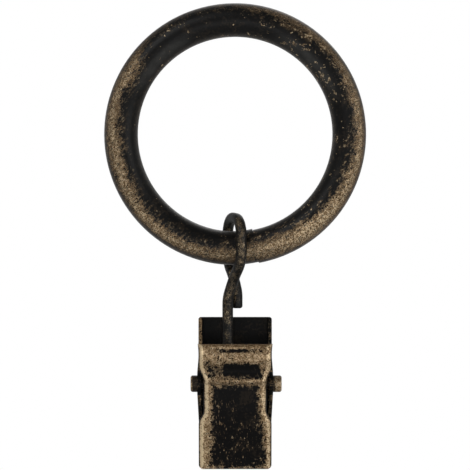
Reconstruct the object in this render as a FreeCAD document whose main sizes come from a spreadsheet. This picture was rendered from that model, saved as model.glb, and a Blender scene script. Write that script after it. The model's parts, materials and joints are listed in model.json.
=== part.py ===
import FreeCAD
import Part
import Sketcher
import math
import os

Vector = FreeCAD.Vector

doc = FreeCAD.newDocument("curtain_ring_with_clip")
dims = doc.addObject("Spreadsheet::Sheet", "Dims")

# Lengths are in millimetres and angles in degrees.
# The origin is the centre of the ring, X runs to the right, Y to the back and Z up.
# Sizes of the two jaws are taken from the centre of the hinge pin.
SIZES = (
    # Ring: one round bar, bent until its ends meet
    ("ring_bore", 38.0),
    ("bar_dia", 6.6),
    ("seam_angle", 10.4),
    ("seam_step", 0.22),
    ("seam_overlap", 0.6),
    ("seam_width", 0.12),
    ("seam_depth", 0.12),
    ("lead_angle", 24.0),
    # Link: one wire with a closed eye round the bar and a smaller eye round the pin
    ("wire_dia", 2.1),
    ("link_length", 26.45),
    ("eye_side_gap", 0.38),
    ("eye_top_gap", 1.82),
    ("eye_lean", 1.35),
    ("eye_slope", 0.55),
    ("eye_shift", 0.12),
    ("eye_shoulder", 2.48),
    ("crossing_gap", 1.45),
    ("strand_gap", 0.16),
    ("crossing_offset", 0.25),
    ("stem_offset", 1.45),
    ("stem_start", 9.7),
    ("tail_offset", 0.4),
    ("tail_step", 0.57),
    ("tail_start", 8.7),
    ("tail_drop", 11.75),
    ("tail_round", 0.5),
    ("wire_bend", 6.0),
    ("pin_eye_gap", 0.14),
    ("pin_eye_bend", 1.5),
    ("pin_eye_end", 146.0),
    # Hinge pin: one rivet with a head at each side
    ("pin_dia", 2.0),
    ("head_dia", 3.25),
    ("head_left", 1.3),
    ("head_right", 1.68),
    ("head_round", 0.45),
    ("swing_fit", 0.08),
    # Sheet of both jaws
    ("sheet", 0.7),
    ("bend", 1.05),
    ("rim_round", 0.45),
    ("corner_round", 0.9),
    ("jaw_drop", 16.62),
    ("tip_half", 7.1),
    ("tip_depth", 1.3),
    ("jaw_gap", 0.14),
    ("tooth_pitch", 1.5),
    ("tooth_depth", 0.7),
    ("ear_round", 2.25),
    ("ear_reach", 2.7),
    # Front jaw, from the flared finger lip down to the shoulder
    ("lip_rise", 7.95),
    ("lip_inset", 0.15),
    ("lip_face", -6.75),
    ("lip_edge", -5.15),
    ("crease_rise", 6.4),
    ("crease_inset", 0.13),
    ("crease_face", -6.0),
    ("crease_edge", -4.45),
    ("belly_rise", 5.0),
    ("belly_inset", 0.15),
    ("belly_face", -6.15),
    ("belly_edge", -4.05),
    ("valley_rise", 3.1),
    ("valley_inset", 0.3),
    ("valley_face", -5.2),
    ("valley_edge", -3.3),
    ("ridge_rise", 1.5),
    ("ridge_spread", 0.23),
    ("ridge_face", -5.3),
    ("ridge_edge", -2.7),
    ("ear_gap", 0.58),
    ("waist_top_rise", 0.0),
    ("waist_top_face", -4.7),
    ("waist_edge", -2.2),
    ("waist_end_drop", 5.2),
    ("waist_end_face", -3.97),
    ("shoulder_drop", 7.7),
    ("shoulder_face", -3.45),
    ("shoulder_edge", -1.5),
    ("soft_start", 0.33),
    ("soft_end", 0.67),
    ("spread_start", 0.26),
    ("spread_end", 0.74),
    # Back jaw, from its straight top edge down to the shoulder
    ("back_rise", 12.95),
    ("back_inset", 0.21),
    ("back_face", 4.2),
    ("back_edge", 2.3),
    ("back_mid_rise", 5.0),
    ("back_mid_edge", 1.4),
    ("ear_half", 7.4),
    ("ear_top_rise", 2.4),
    ("ear_edge", 0.6),
    ("ear_end_drop", 2.2),
    ("ear_end_face", 4.05),
    ("back_shoulder_face", 3.33),
    ("back_shoulder_edge", 1.5),
    # Spring: one coiled wire round the pin with a leg on each lever
    ("spring_wire", 0.8),
    ("spring_gap", 0.15),
    ("spring_pitch", 0.86),
    ("spring_start", 0.6),
    ("spring_turns", 4.0),
    ("back_leg_rise", 6.6),
    ("front_leg_rise", 5.6),
    ("leg_gap", 0.06),
)

for row, (alias, value) in enumerate(SIZES, start=1):
    dims.set("A%d" % row, alias.replace("_", " "))
    dims.set("B%d" % row, str(value))
    dims.setAlias("B%d" % row, alias)
doc.recompute()

# Share of a straight run that one bend of a wire may use
BEND_SHARE = 0.45
# Reach of a line that is longer than the object is deep
SIGHT = 40.0
# Distance below which two heights are the same
NEAR = 1e-4

# Codes by which a sketch names the points of an element and its own two axes
START, END, CENTRE = range(1, 4)
ACROSS, UP = range(-1, -3, -1)
ORIGIN = (ACROSS, START)


def size(formula):
    """Number that a formula on the sheet gives."""
    return float(dims.evalExpression(formula))


def on_sheet(formula):
    """The same formula as an object outside the sheet writes it."""
    for alias, _ in sorted(SIZES, key=lambda pair: -len(pair[0])):
        formula = formula.replace(alias, "<%d>" % ALIASES.index(alias))
    for index, alias in enumerate(ALIASES):
        formula = formula.replace("<%d>" % index, "Dims." + alias)
    return formula


ALIASES = [alias for alias, _ in SIZES]


def origin_item(body, role):
    return next(item for item in body.Origin.OriginFeatures if item.Role == role)


def sketch_on(body, name, role, offset=None):
    """Sketch on a plane of the body, moved along the plane's normal by a formula."""
    sketch = body.newObject("Sketcher::SketchObject", name)
    sketch.AttachmentSupport = [(origin_item(body, role), "")]
    sketch.MapMode = "FlatFace"
    if offset:
        sketch.setExpression(".AttachmentOffset.Base.z", on_sheet(offset))
    return sketch


def bind(sketch, name, formula, kind, *where):
    """Dimension of a sketch, bound to the sheet."""
    index = sketch.addConstraint(Sketcher.Constraint(kind, *where, size(formula)))
    sketch.renameConstraint(index, name)
    sketch.setExpression("Constraints." + name, on_sheet(formula))


def place(sketch, name, geometry, point, across, up):
    """Fix a point of a sketch by its two distances from the origin."""
    bind(sketch, name + "_across", across, "DistanceX", *ORIGIN, geometry, point)
    bind(sketch, name + "_up", up, "DistanceY", *ORIGIN, geometry, point)


def join(sketch, first, second):
    sketch.addConstraint(Sketcher.Constraint("Coincident", *first, *second))


def polygon(sketch, corners):
    """Closed outline whose corners are pairs of formulas."""
    points = [Vector(size(across), size(up), 0) for across, up in corners]
    lines = []
    for first, second in zip(points, points[1:] + points[:1]):
        lines.append(sketch.addGeometry(Part.LineSegment(first, second)))
    for line, following in zip(lines, lines[1:] + lines[:1]):
        join(sketch, (line, END), (following, START))
    for index, (across, up) in enumerate(corners):
        place(sketch, "corner%d" % index, lines[index], START, across, up)
    return lines


def circle(sketch, name, across, up, diameter):
    centre = Vector(size(across), size(up), 0)
    radius = size(diameter) / 2
    ring = sketch.addGeometry(Part.Circle(centre, Vector(0, 0, 1), radius))
    bind(sketch, name + "_dia", diameter, "Diameter", ring)
    place(sketch, name, ring, CENTRE, across, up)


def add_arc(sketch, centre, first, second):
    """Quarter bend between two points, with the ends named in that order."""
    radius = (first - centre).Length
    angles = [math.atan2(p.y - centre.y, p.x - centre.x) for p in (first, second)]
    forward = (angles[1] - angles[0]) % (2 * math.pi) < math.pi
    if not forward:
        angles.reverse()
    if angles[1] < angles[0]:
        angles[1] += 2 * math.pi
    whole = Part.Circle(centre, Vector(0, 0, 1), radius)
    index = sketch.addGeometry(Part.ArcOfCircle(whole, *angles))
    return (index, START, END) if forward else (index, END, START)


def channel_section(body, name, opens, rise, half, face, edge):
    """Section of a pressed channel at one height: a plate with two walls.

    The walls point along +Y where opens is 1, and along -Y where it is -1.
    """
    sketch = sketch_on(body, name, "XY_Plane", rise)
    wide, plate, end = size(half), size(face), size(edge)
    sheet, bend = size("sheet"), size("bend")
    turn = plate + opens * bend
    left, right = Vector(bend - wide, turn, 0), Vector(wide - bend, turn, 0)
    outer = [
        Vector(-wide, end, 0), Vector(-wide, turn, 0),
        Vector(bend - wide, plate, 0), Vector(wide - bend, plate, 0),
        Vector(wide, turn, 0), Vector(wide, end, 0),
    ]
    inner = [
        Vector(wide - sheet, end, 0), Vector(wide - sheet, turn, 0),
        Vector(wide - bend, plate + opens * sheet, 0),
        Vector(bend - wide, plate + opens * sheet, 0),
        Vector(sheet - wide, turn, 0), Vector(sheet - wide, end, 0),
    ]

    def line(first, second):
        return (sketch.addGeometry(Part.LineSegment(first, second)), START, END)

    left_wall = line(outer[0], outer[1])
    left_bend = add_arc(sketch, left, outer[1], outer[2])
    front = line(outer[2], outer[3])
    right_bend = add_arc(sketch, right, outer[3], outer[4])
    right_wall = line(outer[4], outer[5])
    right_edge = line(outer[5], inner[0])
    right_inside = line(inner[0], inner[1])
    right_inner_bend = add_arc(sketch, right, inner[1], inner[2])
    inside = line(inner[2], inner[3])
    left_inner_bend = add_arc(sketch, left, inner[3], inner[4])
    left_inside = line(inner[4], inner[5])
    left_edge = line(inner[5], outer[0])
    loop = [
        left_wall, left_bend, front, right_bend, right_wall, right_edge,
        right_inside, right_inner_bend, inside, left_inner_bend, left_inside, left_edge,
    ]
    for item, following in zip(loop, loop[1:] + loop[:1]):
        join(sketch, (item[0], item[2]), (following[0], following[1]))
    for item in (left_wall, right_wall, right_inside, left_inside):
        sketch.addConstraint(Sketcher.Constraint("Vertical", item[0]))
    for item in (front, right_edge, inside, left_edge):
        sketch.addConstraint(Sketcher.Constraint("Horizontal", item[0]))
    for arc, level, plumb in (
        (left_bend, 1, 2), (right_bend, 2, 1),
        (right_inner_bend, 1, 2), (left_inner_bend, 2, 1),
    ):
        sketch.addConstraint(
            Sketcher.Constraint("Horizontal", arc[0], CENTRE, arc[0], arc[level]))
        sketch.addConstraint(
            Sketcher.Constraint("Vertical", arc[0], CENTRE, arc[0], arc[plumb]))
    join(sketch, (left_bend[0], CENTRE), (left_inner_bend[0], CENTRE))
    join(sketch, (right_bend[0], CENTRE), (right_inner_bend[0], CENTRE))
    sketch.addConstraint(Sketcher.Constraint(
        "Symmetric", left_wall[0], START, right_wall[0], END, UP))
    sketch.addConstraint(Sketcher.Constraint("Equal", left_bend[0], right_bend[0]))
    bind(sketch, "bend", "bend", "Radius", left_bend[0])
    bind(sketch, "face", face, "DistanceY", *ORIGIN, front[0], START)
    bind(sketch, "edge", edge, "DistanceY", *ORIGIN, left_wall[0], START)
    bind(sketch, "width", "2 * (%s)" % half, "DistanceX",
         left_wall[0], START, right_wall[0], END)
    bind(sketch, "sheet", "sheet", "DistanceX", left_wall[0], START, left_inside[0], END)
    return sketch


def loft(body, name, sections, straight):
    feature = body.newObject("PartDesign::AdditiveLoft", name)
    feature.Profile = sections[0]
    feature.Sections = sections[1:]
    feature.Ruled = straight
    return feature


def pad(body, name, sketch, length, midplane=False, back=False):
    feature = body.newObject("PartDesign::Pad", name)
    feature.Profile = sketch
    feature.SideType = "Symmetric" if midplane else "One side"
    feature.Reversed = back
    feature.setExpression("Length", on_sheet(length))
    return feature


def rounded_corner(sketch, name, side):
    """Outline of the waste outside one rounded corner at the tip of a jaw."""
    across = ["%d * (tip_half %s corner_round)" % (side, sign) for sign in "-+"]
    rise = ["-jaw_drop %s corner_round" % sign for sign in "-+"]
    edge, tip = "%d * tip_half" % side, "-jaw_drop"
    corners = [(edge, rise[1]), (across[1], rise[1]), (across[1], rise[0]),
               (across[0], rise[0]), (across[0], tip)]
    points = [Vector(size(x), size(z), 0) for x, z in corners]
    loop = []
    for first, second in zip(points, points[1:]):
        loop.append((sketch.addGeometry(Part.LineSegment(first, second)), START, END))
    centre = Vector(size(across[0]), size(rise[1]), 0)
    loop.append(add_arc(sketch, centre, points[-1], points[0]))
    for item, following in zip(loop, loop[1:] + loop[:1]):
        join(sketch, (item[0], item[2]), (following[0], following[1]))
    for index, (x, z) in enumerate(corners):
        place(sketch, "%s%d" % (name, index), loop[index][0], loop[index][1], x, z)
    bind(sketch, name + "_round", "corner_round", "Radius", loop[-1][0])


def pocket(body, name, sketch, length):
    feature = body.newObject("PartDesign::Pocket", name)
    feature.Profile = sketch
    feature.SideType = "Symmetric"
    feature.setExpression("Length", on_sheet(length))
    return feature


def fillet(body, name, feature, radius, wanted):
    """Round the edges of a feature that a test picks."""
    doc.recompute()
    names = []
    for index, edge in enumerate(feature.Shape.Edges, start=1):
        if wanted(edge):
            names.append("Edge%d" % index)
    rounding = body.newObject("PartDesign::Fillet", name)
    rounding.Base = (feature, names)
    rounding.setExpression("Radius", on_sheet(radius))
    return rounding


# Heights along the object, from the centre of the ring
MEAN_RADIUS = "((ring_bore + bar_dia) / 2)"
PIN_DROP = "((ring_bore + bar_dia) / 2 + link_length)"
PIN_PLACE = "placement(vector(0; 0; -%s); rotation(vector(0; 0; 1); 0))" % PIN_DROP

# Ring: a full round run from the seam, then a lead with a tighter bend back to the seam
LEAD_ANGLE = "(lead_angle * 1 deg)"
LEAD_END = "((ring_bore + bar_dia) / 2 - seam_step)"
LEAD_RADIUS = "((%s ^ 2 + (%s) ^ 2 - 2 * %s * %s * cos(%s)) / (2 * (%s - %s * cos(%s))))" % (
    LEAD_END, MEAN_RADIUS, MEAN_RADIUS, LEAD_END, LEAD_ANGLE,
    MEAN_RADIUS, LEAD_END, LEAD_ANGLE)
LEAD_TURN = "asin(%s * sin(%s) / %s)" % (LEAD_END, LEAD_ANGLE, LEAD_RADIUS)
ring = doc.addObject("PartDesign::Body", "ring")


def bent_bar(name, sketch, axis, angle):
    feature = ring.newObject("PartDesign::Revolution", name)
    feature.Profile = sketch
    feature.ReferenceAxis = axis
    feature.Reversed = True
    feature.setExpression("Angle", on_sheet(angle))


bar_section = sketch_on(ring, "bar_section", "XY_Plane")
circle(bar_section, "bar", MEAN_RADIUS, "0", "bar_dia")
bent_bar("round_run", bar_section, (origin_item(ring, "Y_Axis"), [""]), "360 - lead_angle")

lead_section = sketch_on(ring, "lead_section", "XY_Plane")
lead_section.setExpression(
    "AttachmentOffset",
    on_sheet("placement(vector(0; 0; 0); rotation(vector(0; 1; 0); lead_angle))"))
circle(lead_section, "bar", MEAN_RADIUS, "0", "bar_dia")
LEAD_CENTRE = "%s - %s" % (MEAN_RADIUS, LEAD_RADIUS)
lead_foot = Vector(size(LEAD_CENTRE), 0, 0)
lead_axis = lead_section.addGeometry(
    Part.LineSegment(lead_foot, lead_foot + Vector(0, size("bar_dia"), 0)), True)
place(lead_section, "axis_foot", lead_axis, START, LEAD_CENTRE, "0")
place(lead_section, "axis_head", lead_axis, END, LEAD_CENTRE, "bar_dia")
bent_bar("lead_run", lead_section, (lead_section, ["Axis0"]), LEAD_TURN + " + seam_overlap * 1 deg")

# Fine groove where the two ends of the bar meet
seam_line = sketch_on(ring, "seam_line", "XY_Plane")
circle(seam_line, "clear", MEAN_RADIUS, "0", "2 * bar_dia")
circle(seam_line, "root", MEAN_RADIUS, "0", "bar_dia - 2 * seam_depth")
pocket(ring, "seam", seam_line, "seam_width")
ring.setExpression(
    "Placement",
    on_sheet("placement(vector(0; 0; 0); rotation(vector(0; 1; 0); 90 - seam_angle))"))

# Front jaw
front_jaw = doc.addObject("PartDesign::Body", "front_jaw")
UPPER_SHOULDER = "(waist_end_drop + (shoulder_drop - waist_end_drop) * soft_start)"
LOWER_SHOULDER = "(waist_end_drop + (shoulder_drop - waist_end_drop) * soft_end)"
LIP_HALF = "(ear_half - lip_inset)"
WAIST_HALF = "(ear_half - sheet - ear_gap)"
FRONT_STATIONS = {
    "lip": ("lip_rise", LIP_HALF, "lip_face", "lip_edge"),
    "crease": ("crease_rise", LIP_HALF + " - crease_inset", "crease_face", "crease_edge"),
    "belly": ("belly_rise", LIP_HALF + " - belly_inset", "belly_face", "belly_edge"),
    "valley": ("valley_rise", LIP_HALF + " - valley_inset", "valley_face", "valley_edge"),
    "ridge": ("ridge_rise", WAIST_HALF + " + ridge_spread", "ridge_face", "ridge_edge"),
    "waist_top": ("waist_top_rise", WAIST_HALF, "waist_top_face", "waist_edge"),
    "waist_end": ("-waist_end_drop", WAIST_HALF, "waist_end_face", "waist_edge"),
    "upper_shoulder": (
        "-" + UPPER_SHOULDER,
        WAIST_HALF + " + (tip_half - " + WAIST_HALF + ") * spread_start",
        "waist_end_face + (shoulder_face - waist_end_face) * soft_start",
        "waist_edge + (shoulder_edge - waist_edge) * soft_start"),
    "lower_shoulder": (
        "-" + LOWER_SHOULDER,
        WAIST_HALF + " + (tip_half - " + WAIST_HALF + ") * spread_end",
        "waist_end_face + (shoulder_face - waist_end_face) * soft_end",
        "waist_edge + (shoulder_edge - waist_edge) * soft_end"),
    "shoulder": ("-shoulder_drop", "tip_half", "shoulder_face", "shoulder_edge"),
    "tip": ("-jaw_drop", "tip_half", "-tip_depth", "-jaw_gap / 2"),
}
# Each run of stations is one loft, curved or straight
FRONT_RUNS = (
    (("lip", "crease", "belly", "valley", "ridge", "waist_top"), False),
    (("waist_top", "waist_end"), True),
    (("waist_end", "upper_shoulder", "lower_shoulder", "shoulder"), False),
    (("shoulder", "tip"), True),
)
BACK_HALF = "(ear_half - back_inset)"
BACK_STATIONS = {
    "top": ("back_rise", BACK_HALF, "back_face", "back_edge"),
    "middle": ("back_mid_rise", BACK_HALF, "back_face", "back_mid_edge"),
    "ear_top": ("ear_top_rise", "ear_half", "back_face", "ear_edge"),
    "ear_end": ("-ear_end_drop", "ear_half", "ear_end_face", "ear_edge"),
    "shoulder": ("-shoulder_drop", "tip_half", "back_shoulder_face", "back_shoulder_edge"),
    "tip": ("-jaw_drop", "tip_half", "tip_depth", "jaw_gap / 2"),
}
BACK_RUNS = (
    (("top", "middle", "ear_top", "ear_end", "shoulder", "tip"), True),
)
TOOTH_COUNT = int(2 * (size("tip_half") - size("bend")) / size("tooth_pitch"))


def outer_rim(rise, half, face, _):
    """Test for an edge on the outside of a channel's end."""
    height, wide, plate, bend = size(rise), size(half), size(face), size("bend")

    def wanted(edge):
        if any(abs(vertex.Z - height) > NEAR for vertex in edge.Vertexes):
            return False
        middle = edge.valueAt((edge.FirstParameter + edge.LastParameter) / 2)
        if edge.Curve.TypeId == "Part::GeomCircle":
            return abs(edge.Curve.Radius - bend) < NEAR
        return abs(abs(middle.x) - wide) < NEAR or abs(middle.y - plate) < NEAR

    return wanted


def jaw(body, opens, stations, runs, ear_half, hole):
    """Pressed jaw: lofted channel, toothed lip at the tip, ears with the pin's hole."""
    sections = {}
    for name, formulas in stations.items():
        sections[name] = channel_section(body, body.Name + "_" + name, opens, *formulas)
    for names, straight in runs:
        loft(body, body.Name + "_to_" + names[-1], [sections[n] for n in names], straight)

    # Lip folded in at the tip, with a row of teeth
    sign = "-1 * " if opens > 0 else ""
    level = sign + "jaw_gap / 2"
    face = sign + "tip_depth"
    turn = "%stip_depth %s bend" % (sign, "+" if opens > 0 else "-")
    corners = [("-tip_half", level), ("-tip_half", turn), ("bend - tip_half", face),
               ("tip_half - bend", face), ("tip_half", turn), ("tip_half", level)]
    for step in range(2 * TOOTH_COUNT + 1):
        across = "tooth_pitch * (%d - %d) / 2" % (TOOTH_COUNT, step)
        height = "tooth_depth / 2 * %d" % (1 if step % 2 else -1)
        if step in (0, 2 * TOOTH_COUNT):
            height = "0"
        corners.append((across, "%s + %s" % (level, height)))
    lip = sketch_on(body, body.Name + "_lip_outline", "XY_Plane", "-jaw_drop")
    polygon(lip, corners)
    pad(body, body.Name + "_folded_lip", lip, "sheet")

    # Ears round the pin
    root = "%d * ear_reach" % -opens
    ear = sketch_on(body, body.Name + "_ear_outline", "YZ_Plane")
    polygon(ear, [(root, "ear_round"), (root, "-ear_round"),
                  ("0", "-ear_round"), ("0", "ear_round")])
    pad(body, body.Name + "_ear", ear, "2 * (%s)" % ear_half, midplane=True)
    nose = sketch_on(body, body.Name + "_nose_outline", "YZ_Plane")
    circle(nose, "nose", "0", "0", "2 * ear_round")
    pad(body, body.Name + "_nose", nose, "2 * (%s)" % ear_half, midplane=True)
    room = sketch_on(body, body.Name + "_room_outline", "YZ_Plane")
    deep = "%d * (ear_reach + sheet)" % -opens
    far = "%d * (2 * ear_round)" % opens
    polygon(room, [(deep, "2 * ear_round"), (deep, "-2 * ear_round"),
                   (far, "-2 * ear_round"), (far, "2 * ear_round")])
    pocket(body, body.Name + "_room", room, "2 * (%s - sheet)" % ear_half)
    bore = sketch_on(body, body.Name + "_bore_outline", "YZ_Plane")
    circle(bore, "bore", "0", "0", hole)
    drilled = pocket(body, body.Name + "_bore", bore, "4 * ear_half")

    # Soft outer rim and rounded corners at the folded tip
    fillet(body, body.Name + "_tip_round", drilled, "rim_round", outer_rim(*stations["tip"]))
    waste = sketch_on(body, body.Name + "_corner_outline", "XZ_Plane")
    rounded_corner(waste, "left", -1)
    rounded_corner(waste, "right", 1)
    return pocket(body, body.Name + "_corners", waste, "4 * (tip_depth + bend)")


jaw(front_jaw, 1, FRONT_STATIONS, FRONT_RUNS, WAIST_HALF, "pin_dia + 2 * swing_fit")
front_jaw.setExpression("Placement", on_sheet(PIN_PLACE))

# Back jaw, with a soft rim along its top edge
back_jaw = doc.addObject("PartDesign::Body", "back_jaw")
pressed = jaw(back_jaw, -1, BACK_STATIONS, BACK_RUNS, "ear_half", "pin_dia")
fillet(back_jaw, "back_jaw_top_round", pressed, "rim_round", outer_rim(*BACK_STATIONS["top"]))
back_jaw.setExpression("Placement", on_sheet(PIN_PLACE))

# Hinge pin
hinge_pin = doc.addObject("PartDesign::Body", "hinge_pin")
turned = sketch_on(hinge_pin, "turned_outline", "XZ_Plane")
polygon(turned, [
    ("-ear_half - head_left", "0"), ("-ear_half - head_left", "head_dia / 2"),
    ("-ear_half", "head_dia / 2"), ("-ear_half", "pin_dia / 2"),
    ("ear_half", "pin_dia / 2"), ("ear_half", "head_dia / 2"),
    ("ear_half + head_right", "head_dia / 2"), ("ear_half + head_right", "0"),
])
rivet = hinge_pin.newObject("PartDesign::Revolution", "rivet")
rivet.Profile = turned
rivet.ReferenceAxis = (origin_item(hinge_pin, "X_Axis"), [""])
rivet.Angle = 360


def on_outer_face(edge):
    reach = min(abs(vertex.X) for vertex in edge.Vertexes)
    outer = size("ear_half + min(head_left; head_right) / 2")
    return reach > outer and edge.BoundBox.YLength > size("pin_dia")


fillet(hinge_pin, "rivet_heads", rivet, "head_round", on_outer_face)
hinge_pin.setExpression("Placement", on_sheet(PIN_PLACE))


def bent_path(corners, radius):
    """Edges of straight runs joined by tangent bends."""
    edges = []
    start = corners[0]
    for before, corner, after in zip(corners, corners[1:], corners[2:]):
        back, ahead = before - corner, after - corner
        half = back.getAngle(ahead) / 2
        room = BEND_SHARE * min(back.Length, ahead.Length)
        setback = min(radius / math.tan(half), room)
        bend = setback * math.tan(half)
        back.normalize()
        ahead.normalize()
        middle = (back + ahead).normalize() * (bend / math.sin(half) - bend)
        leave, enter = corner + back * setback, corner + ahead * setback
        edges.append(Part.LineSegment(start, leave).toShape())
        edges.append(Part.Arc(leave, corner + middle, enter).toShape())
        start = enter
    edges.append(Part.LineSegment(start, corners[-1]).toShape())
    return edges


def round_wire(edges, diameter):
    """Solid of a round wire that follows the edges."""
    first = edges[0]
    begin = first.valueAt(first.FirstParameter)
    heading = first.tangentAt(first.FirstParameter)
    section = Part.Wire(Part.makeCircle(diameter / 2, begin, heading))
    return Part.Wire(edges).makePipeShell([section], True, False)


# Link, from the cut tail over the ring and down to the eye round the pin
bar = size("bar_dia") / 2
wire = size("wire_dia") / 2
bar_drop = size(MEAN_RADIUS)
pin_drop = size(PIN_DROP)
side = bar + size("eye_side_gap") + wire
top = bar + size("eye_top_gap") + wire - bar_drop
eye_back = -size("eye_lean") - size("eye_shift")
eye_front = size("eye_lean") - size("eye_shift")
shoulder = -bar_drop - size("eye_shoulder")
crossing = -bar_drop - bar - wire - size("crossing_gap")
apart = wire + size("strand_gap") / 2
stem_x = -size("stem_offset")
tail_x = size("tail_offset")
tail_y = apart + size("tail_step")
crossing_x = -size("crossing_offset")
link_corners = [
    Vector(tail_x, tail_y, -bar_drop - size("tail_drop")),
    Vector(tail_x, tail_y, -bar_drop - size("tail_start")),
    Vector(crossing_x, apart, crossing),
    Vector(eye_back, side, shoulder),
    Vector(eye_back, side, top),
    Vector(eye_front, -side, top - size("eye_slope")),
    Vector(eye_front, -side, shoulder),
    Vector(crossing_x, -apart, crossing),
    Vector(stem_x, 0, -bar_drop - size("stem_start")),
]
eye = size("pin_dia") / 2 + size("pin_eye_gap") + wire
swerve = size("pin_eye_bend")
swerve_rise = math.sqrt(eye ** 2 + 2 * eye * swerve)
link_corners.append(Vector(stem_x, 0, swerve_rise - pin_drop))
link_edges = bent_path(link_corners, size("wire_bend"))


def beside_pin(radius, angle, centre_y=0.0, centre_z=0.0):
    """Point in the plane of the stem, at an angle from the back round a centre."""
    return Vector(stem_x, centre_y + radius * math.cos(angle),
                  centre_z + radius * math.sin(angle) - pin_drop)


meet = math.atan2(swerve_rise, swerve)
link_edges.append(Part.Arc(
    beside_pin(swerve, math.pi, swerve, swerve_rise),
    beside_pin(swerve, math.pi + meet / 2, swerve, swerve_rise),
    beside_pin(eye, meet)).toShape())
eye_end = math.radians(size("pin_eye_end")) - 2 * math.pi
link_edges.append(Part.Arc(
    beside_pin(eye, meet), beside_pin(eye, (meet + eye_end) / 2),
    beside_pin(eye, eye_end)).toShape())
bent_wire = round_wire(link_edges, size("wire_dia"))
tail_end = link_corners[0].z
tail_rim = [edge for edge in bent_wire.Edges
            if all(abs(vertex.Z - tail_end) < NEAR for vertex in edge.Vertexes)]
wire_link = doc.addObject("Part::Feature", "wire_link")
wire_link.Shape = bent_wire.makeFillet(size("tail_round"), tail_rim)

# Spring, from the leg on the back jaw to the leg on the front jaw
doc.recompute()


def inner_face(body, across, rise, heading):
    """Distance from the pin to the inside of a jaw, along Y."""
    begin = Vector(across, 0, rise - pin_drop)
    sight = Part.makeLine(begin, begin + Vector(0, heading * SIGHT, 0))
    inside = sight.common(body.Shape)
    return min(abs(vertex.Y) for vertex in inside.Vertexes)


thin = size("spring_wire") / 2
coil = size("pin_dia") / 2 + size("spring_gap") + thin
pitch = size("spring_pitch")
leg_margin = thin + size("leg_gap")
back_x = size("spring_start")
back_tip = Vector(0, inner_face(back_jaw, back_x, size("back_leg_rise"), 1) - leg_margin,
                  size("back_leg_rise"))
back_touch = math.atan2(back_tip.z, back_tip.y) - math.acos(coil / back_tip.Length)
front_x = back_x + pitch * size("spring_turns")
front_tip = Vector(0, leg_margin - inner_face(front_jaw, front_x, size("front_leg_rise"), -1),
                   size("front_leg_rise"))
front_touch = math.atan2(front_tip.z, front_tip.y) + math.acos(coil / front_tip.Length)
sweep = 2 * math.pi * (math.floor(size("spring_turns")) + 1) - (front_touch - back_touch)
outward = Vector(0, math.cos(back_touch), math.sin(back_touch))
onward = Vector(0, math.sin(back_touch), -math.cos(back_touch))


def coil_bend(index, turn):
    """Bend of the coil, up to half a turn, that moves half a pitch along the pin."""
    side = -1 if index % 2 else 1
    centre = Vector(back_x + pitch * (2 * index + 1) / 4, 0, -pin_drop)
    spoke = outward * (side * coil) - Vector(pitch / 4, 0, 0)
    ahead = onward * (side * spoke.Length)
    points = [centre + spoke * math.cos(angle) + ahead * math.sin(angle)
              for angle in (0, turn / 2, turn)]
    return Part.Arc(*points).toShape()


half_turns, last_turn = divmod(sweep, math.pi)
coils = [coil_bend(index, math.pi) for index in range(int(half_turns))]
coils.append(coil_bend(int(half_turns), last_turn))
coil_start = coils[0].valueAt(coils[0].FirstParameter)
coil_end = coils[-1].valueAt(coils[-1].LastParameter)
back_leg = math.sqrt(back_tip.Length ** 2 - coil ** 2)
front_leg = math.sqrt(front_tip.Length ** 2 - coil ** 2)
back_end = coil_start - onward * back_leg
front_end = coil_end + coils[-1].tangentAt(coils[-1].LastParameter) * front_leg
torsion_spring = doc.addObject("Part::Feature", "torsion_spring")
torsion_spring.Shape = round_wire(
    [Part.LineSegment(back_end, coil_start).toShape()] + coils
    + [Part.LineSegment(coil_end, front_end).toShape()], size("spring_wire"))

# Check every object before the files are written
doc.recompute()
pieces = (ring, wire_link, back_jaw, front_jaw, hinge_pin, torsion_spring)
for item in doc.Objects:
    if "Invalid" in item.State or "Error" in item.State:
        raise RuntimeError("%s did not build: %s" % (item.Name, item.State))
for piece in pieces:
    if piece.Shape.isNull() or not piece.Shape.isValid() or len(piece.Shape.Solids) != 1:
        raise RuntimeError("%s is not one valid solid" % piece.Label)

os.makedirs("parts", exist_ok=True)
for piece in pieces:
    piece.Shape.exportStep("parts/%s.step" % piece.Label)
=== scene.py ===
"""Looks of the curtain ring with clip: rubbed antique bronze on white, square from the front."""

import json
import math

import bpy
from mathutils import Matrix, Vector


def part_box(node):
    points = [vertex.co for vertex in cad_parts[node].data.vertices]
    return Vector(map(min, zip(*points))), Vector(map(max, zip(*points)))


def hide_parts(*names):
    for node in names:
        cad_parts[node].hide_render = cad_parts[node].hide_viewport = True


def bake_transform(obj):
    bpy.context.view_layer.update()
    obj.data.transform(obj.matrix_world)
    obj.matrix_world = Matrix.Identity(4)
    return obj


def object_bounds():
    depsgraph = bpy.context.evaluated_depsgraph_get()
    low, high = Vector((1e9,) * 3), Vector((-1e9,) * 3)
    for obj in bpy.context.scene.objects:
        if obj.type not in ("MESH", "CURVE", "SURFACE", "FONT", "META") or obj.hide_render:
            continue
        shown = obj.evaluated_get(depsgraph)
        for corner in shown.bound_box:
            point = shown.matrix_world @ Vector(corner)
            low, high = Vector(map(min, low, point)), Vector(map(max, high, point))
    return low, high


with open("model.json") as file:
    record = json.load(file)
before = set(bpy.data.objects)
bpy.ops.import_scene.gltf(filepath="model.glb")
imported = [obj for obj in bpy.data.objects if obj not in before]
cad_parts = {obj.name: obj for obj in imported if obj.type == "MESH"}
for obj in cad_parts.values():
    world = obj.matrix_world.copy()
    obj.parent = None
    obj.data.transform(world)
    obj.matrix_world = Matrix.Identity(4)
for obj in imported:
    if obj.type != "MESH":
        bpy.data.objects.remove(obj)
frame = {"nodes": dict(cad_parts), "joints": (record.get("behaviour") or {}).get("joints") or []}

cad_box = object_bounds()

# Places in the frame, in millimetres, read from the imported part
PER_METRE = 1000.0


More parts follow.
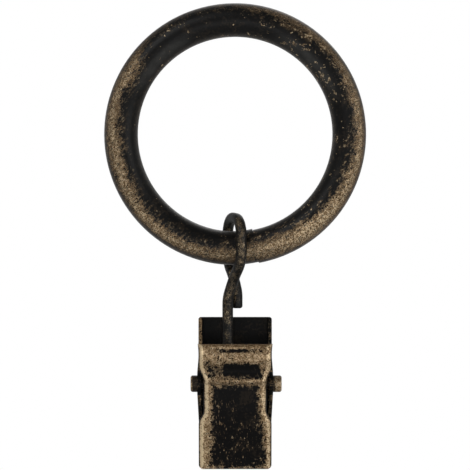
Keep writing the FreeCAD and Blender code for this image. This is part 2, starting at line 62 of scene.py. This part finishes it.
def box_mm(node):
    return [corner * PER_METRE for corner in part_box(node)]


def joint_height(name):
    joint = next(j for j in frame["joints"] if j["name"] == name)
    return joint["pos_m"][2] * PER_METRE


ring_low, ring_high = box_mm("ring")
BAR_RADIUS = (ring_high.y - ring_low.y) / 2
MEAN_RADIUS = ring_high.z - BAR_RADIUS
PIN_HEIGHT = joint_height("clip_swing")

# Colours, linear
BLACK = (0.0032, 0.0031, 0.003, 1)
SOOT = (0.011, 0.0085, 0.0062, 1)
# Grey of the painted sheen on the lacquer
PAINTED_SHEEN_GREY = (0.03, 0.0295, 0.028, 1)
UMBER = (0.1, 0.064, 0.034, 1)
BRONZE = (0.31, 0.215, 0.122, 1)
GILT = (0.6, 0.47, 0.3, 1)
STEEL = (0.12, 0.115, 0.105, 1)
STEEL_DARK = (0.03, 0.028, 0.026, 1)
PAPER = (0.86, 0.86, 0.85, 1)
WHITE = (1, 1, 1, 1)

# Blender's noise: its mean, and the factor that spreads it to about -0.5 to 0.5
NOISE_MEAN, NOISE_SPREAD = 0.5, 2.4


class Field:
    """A number that varies over a surface: the output of a shader node."""

    def __init__(self, nodes, socket):
        self.nodes, self.socket = nodes, socket

    def __add__(self, other):
        return self.nodes.math("ADD", self, other)

    def __sub__(self, other):
        return self.nodes.math("SUBTRACT", self, other)

    def __rsub__(self, other):
        return self.nodes.math("SUBTRACT", other, self)

    def __mul__(self, other):
        return self.nodes.math("MULTIPLY", self, other)

    def __truediv__(self, other):
        return self.nodes.math("DIVIDE", self, other)

    def __neg__(self):
        return self.nodes.math("MULTIPLY", self, -1)

    def __abs__(self):
        return self.nodes.math("ABSOLUTE", self)

    __radd__ = __add__


class Nodes:
    """A shader node tree, written as sums."""

    def __init__(self, tree):
        self.tree = tree

    def node(self, kind, inputs, output=0, **settings):
        """Add a node with its inputs and settings, and return one of its outputs."""
        node = self.tree.nodes.new(kind)
        for name, value in settings.items():
            setattr(node, name, value)
        for name, value in inputs.items():
            self.feed(node.inputs[name], value)
        return node.outputs[output]

    def feed(self, socket, value):
        """Link an input to a field or an output, or set it to a constant."""
        if isinstance(value, Field):
            value = value.socket
        if isinstance(value, bpy.types.NodeSocket):
            self.tree.links.new(value, socket)
        else:
            socket.default_value = value

    def split(self, vector):
        parts = self.tree.nodes.new("ShaderNodeSeparateXYZ")
        self.feed(parts.inputs[0], vector)
        return [Field(self, output) for output in parts.outputs]

    def math(self, operation, *values):
        sockets = dict(enumerate(values))
        return Field(self, self.node("ShaderNodeMath", sockets, operation=operation))

    def highest(self, first, *others):
        for other in others:
            first = self.math("MAXIMUM", first, other)
        return first

    def lowest(self, first, *others):
        for other in others:
            first = self.math("MINIMUM", first, other)
        return first

    def step(self, value, low, high):
        """Smooth step from 0 at low to 1 at high."""
        return Field(self, self.node(
            "ShaderNodeMapRange", {"Value": value, "From Min": low, "From Max": high},
            interpolation_type="SMOOTHSTEP"))


class Shade(Nodes):
    """One procedural material. Its places are millimetres in the frame of the part."""

    def __init__(self, name):
        self.material = bpy.data.materials.new(name)
        self.material.use_nodes = True
        super().__init__(self.material.node_tree)
        self.surface = self.tree.nodes["Principled BSDF"]
        coordinates = self.tree.nodes.new("ShaderNodeTexCoord")
        self.place = self.node(
            "ShaderNodeVectorMath", {0: coordinates.outputs["Object"], "Scale": PER_METRE},
            operation="SCALE")
        self.x, self.y, self.z = self.split(self.place)
        self.facing = self.split(coordinates.outputs["Normal"])

    def noise(self, grain, detail=2.0, stretch=(1, 1, 1), shift=0.0, place=None):
        """Noise from about -0.5 to 0.5 with a grain in millimetres, longer along a stretch."""
        place = self.node(
            "ShaderNodeMapping",
            {"Vector": place or self.place, "Location": (shift, shift, shift),
             "Scale": [1 / (grain * along) for along in stretch]})
        value = self.node("ShaderNodeTexNoise", {"Vector": place, "Scale": 1, "Detail": detail})
        return (Field(self, value) - NOISE_MEAN) * NOISE_SPREAD

    def curve(self, value, points):
        """Number read from a smooth curve through a few points, both ways from 0 to 1."""
        node = self.tree.nodes.new("ShaderNodeFloatCurve")
        line = node.mapping.curves[0]
        for _ in points[2:]:
            line.points.new(0.5, 0.5)
        for point, place in zip(line.points, points):
            point.location = place
        node.mapping.update()
        self.feed(node.inputs["Value"], value)
        return Field(self, node.outputs[0])

    def blend(self, share, first, second):
        """Colour from the first, where the share is 0, to the second, where it is 1."""
        return self.node(
            "ShaderNodeMix", {"Factor": share, 6: first, 7: second}, output=2, data_type="RGBA")

    def finish(self, colour, metallic, roughness, height, depth):
        """Set the surface; depth is the height of the relief in millimetres."""
        bump = self.node(
            "ShaderNodeBump",
            {"Height": height, "Distance": depth / PER_METRE, "Strength": 1.0})
        for name, value in (("Base Color", colour), ("Metallic", metallic),
                            ("Roughness", roughness), ("Normal", bump)):
            self.feed(self.surface.inputs[name], value)
        return self.material


# Grains of the wear in millimetres, from broad patches to the finest specks
PATCH, RAG, TONE, CHIP, SPECK, GRAIN = 3.2, 1.2, 0.8, 0.75, 0.5, 0.32

# Mixes of those grains: where each effect begins and where it is complete
BARE, PITTED, FLAKED, CLEAR = (-0.2, 0.4), (0.1, 0.26), (0.5, 0.56), (-0.3, 0.5)
WARM, GILDED, SOOTY = (-0.4, 0.35), (0.2, 0.6), (0.0, 0.6)

# Share of the bronze that a pit covers, share of metal in the wear, relief in millimetres
PIT_COVER, METAL, RELIEF = 0.92, 0.6, 0.014
ROUGHNESS, SHEEN_ROUGHNESS = 0.42, 0.35


def antique(shade, rub, flecks, scratches=0.0, wear=1.0, shine=0.0, painted_sheen=0.0,
            gloss=0.11, sheen=0.0, speckle=1.0, fine=1.0):
    """Black lacquer, worn to bronze where rub is above zero, in ragged specks.

    Over the surface, rub is in millimetres from the edge of the worn zone, flecks is the share
    of loose specks, scratches are bare in any case, wear is how much of the lacquer goes where
    it is worn, shine makes the bronze brighter, in places as a painted highlight, and
    painted_sheen lays a painted grey sheen on the lacquer. For the whole piece, gloss and sheen
    are the lacquer's, and speckle and fine are the strength and the size of the finest grains.
    The factors below weigh the grains against each other.
    """
    patch = shade.noise(PATCH)
    rag = shade.noise(RAG, detail=3, shift=7)
    tone = shade.noise(TONE, detail=3, shift=41)
    chip = shade.noise(CHIP, detail=4, shift=61)
    speck = shade.noise(SPECK * fine, detail=2, shift=13)
    grain = shade.noise(GRAIN * fine, detail=1, shift=29) * speckle

    # Where the lacquer is gone: the worn zone less its pits, loose flakes, scratches
    kept = 1 - wear
    bare = shade.step(rub + patch * 0.5 + rag + speck * 1.3 + grain * 1.4, *BARE)
    pits = shade.step(speck * 0.5 + grain - rub * 0.12 + kept * 0.45, *PITTED)
    bare = bare * (1 - pits * PIT_COVER) * (1 - kept * 0.4)
    flakes = shade.step(chip * 0.65 + grain * 0.15 + patch * 0.35 + flecks, *FLAKED)
    flakes = flakes * (0.2 + shade.step(rag, *CLEAR) * 0.6)
    worn = shade.highest(bare, flakes, scratches)

    # Colours of the bronze and of the lacquer, with the painted sheen laid on the lacquer
    warmth = shade.step(tone * 0.5 + grain * 1.2 + shine * 0.5, *WARM)
    gleam = shade.step(tone * 0.4 + speck * 0.4 + grain * 1.1 + shine, *GILDED)
    bronze = shade.blend(gleam, shade.blend(warmth, UMBER, BRONZE), GILT)
    lacquer = shade.blend(shade.step(patch + speck, *SOOTY), BLACK, SOOT)
    colour = shade.blend(worn, shade.blend(painted_sheen, lacquer, PAINTED_SHEEN_GREY), bronze)

    shade.surface.inputs["Specular IOR Level"].default_value = gloss
    shade.surface.inputs["Sheen Weight"].default_value = sheen
    shade.surface.inputs["Sheen Roughness"].default_value = SHEEN_ROUGHNESS
    roughness = ROUGHNESS + speck * 0.06 + worn * 0.04
    height = grain * 0.4 + speck - worn * 0.4
    return shade.finish(colour, worn * METAL, roughness, height, RELIEF)


# Wear round the ring, clockwise from the bottom (0) over the left (0.25) and the top (0.5).
# Middle, half width and outer end of the worn band: 0 is the bar's middle line, 1 its edge
BAND_MIDDLE = (
    (0, 0.4), (0.04, 0.5), (0.12, 0.52), (0.21, 0.42), (0.27, 0.58), (0.3, 0.65),
    (0.335, 0.5), (0.36, 0.75), (0.4, 1), (0.5, 1), (0.62, 0.95), (0.71, 0.76),
    (0.79, 0.7), (0.86, 0.6), (0.9, 0.46), (0.96, 0.32), (1, 0.4))
BAND_HALF = (
    (0, 0.6), (0.04, 0.52), (0.12, 0.48), (0.21, 0.5), (0.27, 0.53), (0.3, 0.52),
    (0.335, 0.55), (0.36, 0.42), (0.4, 0.26), (0.46, 0.26), (0.5, 0.34), (0.54, 0.52),
    (0.62, 0.48), (0.71, 0.55), (0.79, 0.53), (0.86, 0.66), (0.9, 0.72), (0.96, 0.72),
    (1, 0.6))
BAND_END = (
    (0, 0.9), (0.06, 0.86), (0.14, 0.86), (0.2, 0.96), (0.55, 0.98), (0.9, 0.97), (1, 0.9))
# Share of loose specks beside the band, and of the lacquer that is gone inside it
RING_FLECKS = (
    (0, 0.14), (0.3, 0.12), (0.38, 0.2), (0.5, 0.15), (0.56, 0.26), (0.6, 0.33),
    (0.68, 0.34), (0.72, 0.22), (0.8, 0.24), (0.87, 0.24), (1, 0.14))
RING_WEAR = (
    (0, 0.5), (0.04, 0.55), (0.1, 0.85), (0.25, 0.8), (0.33, 0.7), (0.36, 0.5),
    (0.44, 0.4), (0.5, 0.45), (0.56, 0.72), (0.62, 0.78), (0.71, 0.74), (0.8, 0.88),
    (0.88, 0.98), (0.93, 0.7), (1, 0.5))

# Brush strokes: width and clumps in millimetres, length in widths, part along each axis
STROKE_WIDTH, STROKE_CLUMP, STROKE_LENGTH, SLANT = 0.42, 2.4, 3.2, math.sqrt(0.5)

# Where the strokes set in, downwards and leftwards, and where their ends show more, rightwards
BRUSHED_DOWN, BRUSHED_LEFT, FEATHERED_RIGHT = (8, -10), (-10, -16), (-14, 4)

# Painted sheen, grey painted on the lacquer inside the ring's top: place across the bar, two
# places round it, grain
PAINTED_SHEEN_ACROSS, PAINTED_SHEEN_LEFT, PAINTED_SHEEN_RIGHT, PAINTED_SHEEN_GRAIN = -0.52, 0.375, 0.63, 1.6


def ring_finish():
    """Rubbed along the outer front of the bar, most at the bottom right, least at the top."""
    shade = Shade("ring_finish")
    radius = shade.math("SQRT", shade.x * shade.x + shade.z * shade.z)
    across = (radius - MEAN_RADIUS) / BAR_RADIUS
    clock = shade.math("ARCTAN2", shade.x, shade.z) / math.tau + 0.5

    # Brush strokes aslant, on the lower half and on the left
    aslant = shade.node(
        "ShaderNodeCombineXYZ",
        {"X": (shade.x + shade.z) * SLANT, "Y": (shade.x - shade.z) * SLANT, "Z": shade.y})
    strokes = shade.noise(
        STROKE_WIDTH, detail=3, stretch=(STROKE_LENGTH, 1, 1), shift=71, place=aslant)
    strokes = strokes * shade.highest(
        shade.step(shade.z, *BRUSHED_DOWN), shade.step(shade.x, *BRUSHED_LEFT))

    # Worn band, weaker where it is narrow, that ends short of the bar's edge
    middle, half = shade.curve(clock, BAND_MIDDLE), shade.curve(clock, BAND_HALF)
    band = (half - abs(across - middle)) * BAR_RADIUS - shade.step(half, 0.3, 0.0) * 0.5
    end = (shade.curve(clock, BAND_END) - across) * BAR_RADIUS * 2
    rub = shade.lowest(band + strokes * 0.9, end)

    # Traces of bronze along the bar's edges, as wear and as a painted rim reflection, and
    # strokes that run out beside the band
    edges = shade.step(abs(across), 0.7, 1.0) * 0.05
    beside = shade.step(rub, 0.3, -0.2) * shade.step(rub, -1.5, -0.3)
    clumps = shade.noise(STROKE_CLUMP, shift=83) * 0.5
    feather = (shade.step(strokes + clumps, 0.1, 0.3) * beside
               * (0.16 + shade.step(shade.x, *FEATHERED_RIGHT) * 0.24))

    # Painted sheen: grey painted on the lacquer inside the ring's top, in two patches
    painted_sheen = (shade.step(abs(across - PAINTED_SHEEN_ACROSS), 0.4, 0.1)
            * (0.75 + shade.noise(PAINTED_SHEEN_GRAIN, shift=37) * 0.5)
            * shade.highest(shade.step(abs(clock - PAINTED_SHEEN_LEFT), 0.07, 0.02),
                            shade.step(abs(clock - PAINTED_SHEEN_RIGHT), 0.08, 0.03)))
    # Shine: the band's middle painted brighter as a painted highlight, less towards the bar's
    # outer edge
    return antique(
        shade, rub, shade.curve(clock, RING_FLECKS), scratches=shade.highest(edges, feather),
        wear=shade.curve(clock, RING_WEAR) + strokes * 0.3,
        shine=shade.step(rub, 0.3, 1.6) * 0.3 - shade.step(across, 0.65, 0.95) * 0.5,
        painted_sheen=painted_sheen, sheen=0.3, speckle=1.35)


# Taken from the rub and from the flecks inside the clip, where nothing rubs
UNTOUCHED, UNFLECKED = 9, 0.4

# Scratches on the clip: width and gaps in millimetres, lengths in widths
SCRATCH_WIDTH, SCRATCH_GAP, SCRATCH_LENGTHS = 0.24, 0.9, (8, 13, 19)


def dark_panel(shade, zone, widen=0.0):
    """Depth inside a zone of the clip: low and high from the pin, left and right.

    Its right edge moves out by the share widen of the way down.
    """
    low, high, left, right = zone
    rise = shade.z - PIN_HEIGHT
    edge = right - shade.x - (rise - high) * widen
    return shade.lowest(rise - low, high - rise, shade.x - left, edge)


def inner_side(shade, outward):
    """1 on the inside of a pressed sheet; outward is the sign of its outside along Y."""
    sideways = shade.facing[0] * shade.math("SIGN", shade.x)
    return shade.step(shade.highest(shade.facing[1] * outward, sideways), 0.35, 0.1)


def bent_side(shade):
    """1 on the rounded bends between the face and the walls of a pressed sheet."""
    slant = abs(shade.facing[0])
    return shade.step(slant, 0.02, 0.3) * shade.step(slant, 0.9, 0.6)


def upright_scratches(shade, shift):
    """Fine scratches along the clip, from 0 to 1, in several lengths and broken by gaps."""
    streaks = shade.highest(*(
        shade.noise(SCRATCH_WIDTH, detail=2, stretch=(1, 1, length), shift=shift + length)
        for length in SCRATCH_LENGTHS))
    gaps = shade.noise(SCRATCH_GAP, detail=3, stretch=(1, 1, 1.6), shift=shift + 8)
    return shade.step(streaks + gaps * 0.5, 0.42, 0.62)


# Dark zones of the lever, in millimetres
LEVER_PANEL, LEVER_BROW = (-15.5, -0.8, -4.4, 4.3), (-6.0, -0.75, -4.2, 4.2)
LEVER_VALLEY, LEVER_MOTTLE = (1.55, 4.05, -2.4, 5.4), (1.35, 4.15, -5.7, -1.6)

# Ragged right end of the valley: its place and its grain
VALLEY_END, VALLEY_GRAIN = 4.9, 0.9

# The crease: its height from the pin, half its width, and the middle and half of its deep part
CREASE, CREASE_HALF, CREASE_MIDDLE, CREASE_DEEP = 6.6, 0.3, 0.2, 1.4

# The ridge: its height from the pin, and where it fades up and down, at both ends and leftwards
RIDGE, RIDGE_FADE, RIDGE_ENDS, RIDGE_LEFT = 0.3, (1.4, 0.9), (5.2, 4.2), (-7.0, 1.0)

# The foot sets in downwards and fades at both ends; scratches set in downwards, and the painted
# highlight on the bends grows leftwards
FOOT, FOOT_ENDS, SCRATCHED, PAINTED_HIGHLIGHT_LEFT = (-14.6, -15.6), (6.0, 4.5), (-1.5, -5.0), (3.0, -5.0)


def lever_finish():
    """Rubbed on the finger lever and rounded sides, less on the ridge, black in hollows; painted
    highlight on the sides.
    """
    shade = Shade("lever_finish")
    rise = shade.z - PIN_HEIGHT
    inside = inner_side(shade, -1)
    wall = shade.step(abs(shade.facing[0]), 0.62, 0.92)
    bend = bent_side(shade)

    # Hollows that no finger reaches
    panel = dark_panel(shade, LEVER_PANEL, widen=0.12)
    brow = dark_panel(shade, LEVER_BROW)
    ragged = shade.noise(VALLEY_GRAIN, detail=3, shift=91) * 1.5
    valley = shade.lowest(dark_panel(shade, LEVER_VALLEY), (VALLEY_END - shade.x + ragged) * 0.5)
    mottle = dark_panel(shade, LEVER_MOTTLE) * 0.5 - 0.3
    crease = shade.lowest(
        CREASE_HALF - abs(rise - CREASE),
        shade.highest(CREASE_DEEP - abs(shade.x - CREASE_MIDDLE), 0.16 - abs(shade.x) * 0.06))
    hollow = shade.highest(panel, brow * 1.8, valley * 2, mottle, crease * 4)

    # Places that are rubbed less
    ridge = (shade.step(abs(rise - RIDGE), *RIDGE_FADE) * shade.step(abs(shade.x), *RIDGE_ENDS)
             * shade.step(shade.x, *RIDGE_LEFT))
    foot = shade.step(rise, *FOOT) * shade.step(abs(shade.x), *FOOT_ENDS)

    # The rounded sides are worn, and cleared further as a painted highlight
    rub = (shade.lowest(-hollow, 1.4) + bend * 1.6 - shade.highest(ridge * 0.6, foot * 0.7)
           - inside * UNTOUCHED - wall * 2.0)
    scratches = upright_scratches(shade, 53) * (1 - inside) * shade.step(rise, *SCRATCHED) * 0.6
    # Painted highlight: the rounded bends painted brighter, more on the left
    shine = bend * (0.25 + shade.step(shade.x, *PAINTED_HIGHLIGHT_LEFT) * 0.4) + 0.14
    return antique(shade, rub, 0.02 - inside * UNFLECKED, scratches=scratches, shine=shine,
                   gloss=0.05, speckle=0.85)


# Dark zones of the shell, in millimetres
SHELL_PANEL, SHELL_TOP = (-15.4, -2.6, -4.9, 4.9), (-1.6, 11.6, -5.2, 5.2)

# Front rim of the shell's walls: where it begins, and where it is barer, upwards and not right
RIM_SIDE, RIM_UPPER, RIM_RIGHT = (6.3, 6.5), (3.0, 5.0), (-2, 2)


def shell_finish():
    """Black inside; outside rubbed along the rounded sides, round a black panel; painted
    highlight on the bends.
    """
    shade = Shade("shell_finish")
    rise = shade.z - PIN_HEIGHT
    inside = inner_side(shade, 1)
    wall = shade.step(abs(shade.facing[0]), 0.9, 1.0)
    hollow = shade.highest(dark_panel(shade, SHELL_PANEL), dark_panel(shade, SHELL_TOP))
    rim = shade.step(-shade.facing[1], 0.6, 0.9) * shade.step(abs(shade.x), *RIM_SIDE)
    upper_left = shade.step(rise, *RIM_UPPER) * (1 - shade.step(shade.x, *RIM_RIGHT))
    rub = (shade.lowest(-hollow, 1.0) - inside * UNTOUCHED - wall * 1.4
           + rim * (7.9 + upper_left * 0.4))
    scratches = upright_scratches(shade, 59) * (1 - inside) * 0.35
    # The rounded bends get a painted highlight through shine
    return antique(shade, rub, 0.1 - inside * UNFLECKED + rim * 0.4, scratches=scratches,
                   shine=bent_side(shade) * 0.4, gloss=0.05)


# The link in millimetres: where its eye sets in upwards, its tail to the right and downwards
EYE, TAIL_RIGHT, TAIL_DOWN = (-36, -28), (0.1, 0.7), (-27.5, -29.5)
WIRE_PATCH = 2.2


def wire_finish():
    """Dark bronze wire, worn in fine specks, more on the eye and less on the cut tail."""
    shade = Shade("wire_finish")
    front = shade.step(abs(shade.facing[1]), 0.3, 1.0)
    eye = shade.step(shade.z, *EYE)
    tail = shade.step(shade.x, *TAIL_RIGHT) * shade.step(shade.z, *TAIL_DOWN)
    patches = shade.noise(WIRE_PATCH, shift=5)
    rub = front * 1.1 + eye * 0.22 - tail * 0.7 - 1.1 + patches * 0.6
    return antique(shade, rub, 0.2, wear=0.72, shine=0.35, gloss=0.15, speckle=1.6, fine=0.75)


# The pin in millimetres: where it is brighter to the right, and the roots of its heads
PIN_RIGHT, PIN_ROOT = (-6, 7), (8.1, 7.5)


def pin_finish():
    """Rivet: the right head rubbed bright between dark edges; the left one dark, with a painted
    highlight on its edge.
    """
    shade = Shade("pin_finish")
    right = shade.step(shade.x, *PIN_RIGHT)
    turned = abs(shade.facing[0])
    edge = shade.step(turned, 0.1, 0.4) * shade.step(turned, 0.95, 0.75)
    above = shade.step(abs(shade.facing[2]), 0.72, 0.95)
    root = shade.step(abs(shade.x), *PIN_ROOT)
    # Edge: on the left head a painted highlight, on the right head a dark outline
    rub = right * 2.4 - 0.9 + edge * (2.2 - right * 3.4) - above * 1.3 - root * 1.8
    return antique(shade, rub, 0.2, scratches=0.08, wear=0.95, shine=right * 0.25 + edge * 0.3)


# The spring in millimetres: its drawn grain, fine grain and relief, and its wire
DRAWN, DRAWN_FINE, DRAWN_RELIEF, SPRING_WIRE = 0.3, 0.12, 0.01, 0.8


def spring_finish():
    """Oiled spring wire with a drawn grain."""
    shade = Shade("spring_finish")
    drawn = shade.noise(DRAWN, detail=3)
    fine = shade.noise(DRAWN_FINE, detail=1, shift=3)
    colour = shade.blend(shade.step(drawn + fine * 0.5, -0.2, 0.25), STEEL_DARK, STEEL)
    return shade.finish(colour, 0.9 - fine * 0.1, 0.36 + drawn * 0.2, fine, DRAWN_RELIEF)


def dress(piece, material):
    piece.data.materials.clear()
    piece.data.materials.append(material)
    for face in piece.data.polygons:
        face.material_index = 0


for node, finish in (
    ("ring", ring_finish), ("wire_link", wire_finish), ("front_jaw", lever_finish),
    ("back_jaw", shell_finish), ("hinge_pin", pin_finish),
):
    dress(frame["nodes"][node], finish())

# Spring round the pin, between its two legs: a copy with its own finish, shown in place of the
# imported one
solid = frame["nodes"]["torsion_spring"]
coils = bpy.data.objects.new("twisting_spring", solid.data.copy())
bpy.context.scene.collection.objects.link(coils)
dress(coils, spring_finish())
pin_centre = Vector((0, 0, PIN_HEIGHT / PER_METRE))
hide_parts("torsion_spring")
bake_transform(coils)

# Camera, square to the ring: the image is 470 by 470 pixels
IMAGE = 470
RING_CENTRE_PX = (235.14, 134.2)
MM_PER_PIXEL = 0.1954
LENS, SENSOR = 250.0, 36.0
NEAR, FAR = 0.01, 20
view_width = IMAGE * MM_PER_PIXEL / PER_METRE
aim = Vector((
    (IMAGE / 2 - RING_CENTRE_PX[0]) * MM_PER_PIXEL, 0,
    (RING_CENTRE_PX[1] - IMAGE / 2) * MM_PER_PIXEL)) / PER_METRE
camera = bpy.data.objects.new("camera", bpy.data.cameras.new("camera"))
camera.data.lens, camera.data.sensor_width = LENS, SENSOR
camera.location = aim - Vector((0, view_width * LENS / SENSOR, 0))
camera.rotation_euler = (math.pi / 2, 0, 0)
camera.data.clip_start, camera.data.clip_end = NEAR, FAR
bpy.context.scene.collection.objects.link(camera)
bpy.context.scene.camera = camera

# Pale floor, well below the hanging part, that glows for the camera only
FLOOR_DROP, FLOOR_SIZE = 0.09, 1.8
FLOOR_ROUGHNESS, FLOOR_GLOW = 0.9, 0.7
floor_mesh = bpy.data.meshes.new("floor")
reach, level = FLOOR_SIZE / 2, cad_box[0].z - FLOOR_DROP
corners = ((-reach, -reach), (reach, -reach), (reach, reach), (-reach, reach))
floor_mesh.from_pydata([(x, y, level) for x, y in corners], [], [(0, 1, 2, 3)])
floor = bpy.data.objects.new("floor", floor_mesh)
paper = bpy.data.materials.new("white_paper")
paper.use_nodes = True
sheet = paper.node_tree.nodes["Principled BSDF"]
sheet.inputs["Base Color"].default_value = PAPER
sheet.inputs["Roughness"].default_value = FLOOR_ROUGHNESS
sheet.inputs["Emission Color"].default_value = WHITE
glow = Nodes(paper.node_tree)
lit = glow.tree.nodes.new("ShaderNodeLightPath").outputs["Is Camera Ray"]
glow.feed(sheet.inputs["Emission Strength"], Field(glow, lit) * FLOOR_GLOW)
floor_mesh.materials.append(paper)
bpy.context.scene.collection.objects.link(floor)

# Square soft boxes that face the middle of the view: place and width in metres, and watts
SOFT_BOXES = (
    ("key", (-0.35, -0.55, 0.45), 0.35, 2.9),
    ("fill", (0.55, -0.5, 0.1), 0.4, 2.1),
    ("low", (0.0, -0.45, -0.12), 0.2, 0.5),
    ("back", (0.1, 0.55, 0.4), 0.4, 0.7),
)
for name, place, width, watts in SOFT_BOXES:
    lamp = bpy.data.lights.new(name, "AREA")
    lamp.size, lamp.energy = width, watts
    light = bpy.data.objects.new(name, lamp)
    light.location = Vector(place)
    light.rotation_euler = (aim - light.location).to_track_quat("-Z", "Y").to_euler()
    bpy.context.scene.collection.objects.link(light)

# White surroundings for the camera; for the metal, a light tent that is dim at the front
DIM, SIDES, BRIGHT = 0.03, 0.5, 0.5
SIDE_RANGE, BACK_RANGE = (0.5, 1.0), (-0.3, 0.9)
world = bpy.data.worlds.new("studio")
bpy.context.scene.world = world
world.use_nodes = True
sky = Nodes(world.node_tree)
heading = sky.tree.nodes.new("ShaderNodeTexCoord").outputs["Generated"]
sideways, depth, _ = sky.split(heading)
strength = (DIM + sky.step(depth, *BACK_RANGE) * BRIGHT
            + sky.step(abs(sideways), *SIDE_RANGE) * SIDES)
tent = sky.node("ShaderNodeBackground", {"Strength": strength})
backdrop = sky.node("ShaderNodeBackground", {"Color": WHITE, "Strength": 1.0})
seen = sky.tree.nodes.new("ShaderNodeLightPath").outputs["Is Camera Ray"]
either = sky.node("ShaderNodeMixShader", {0: seen, 1: tent, 2: backdrop})
sky.feed(sky.tree.nodes["World Output"].inputs["Surface"], either)
bpy.context.scene.view_settings.view_transform = "Standard"
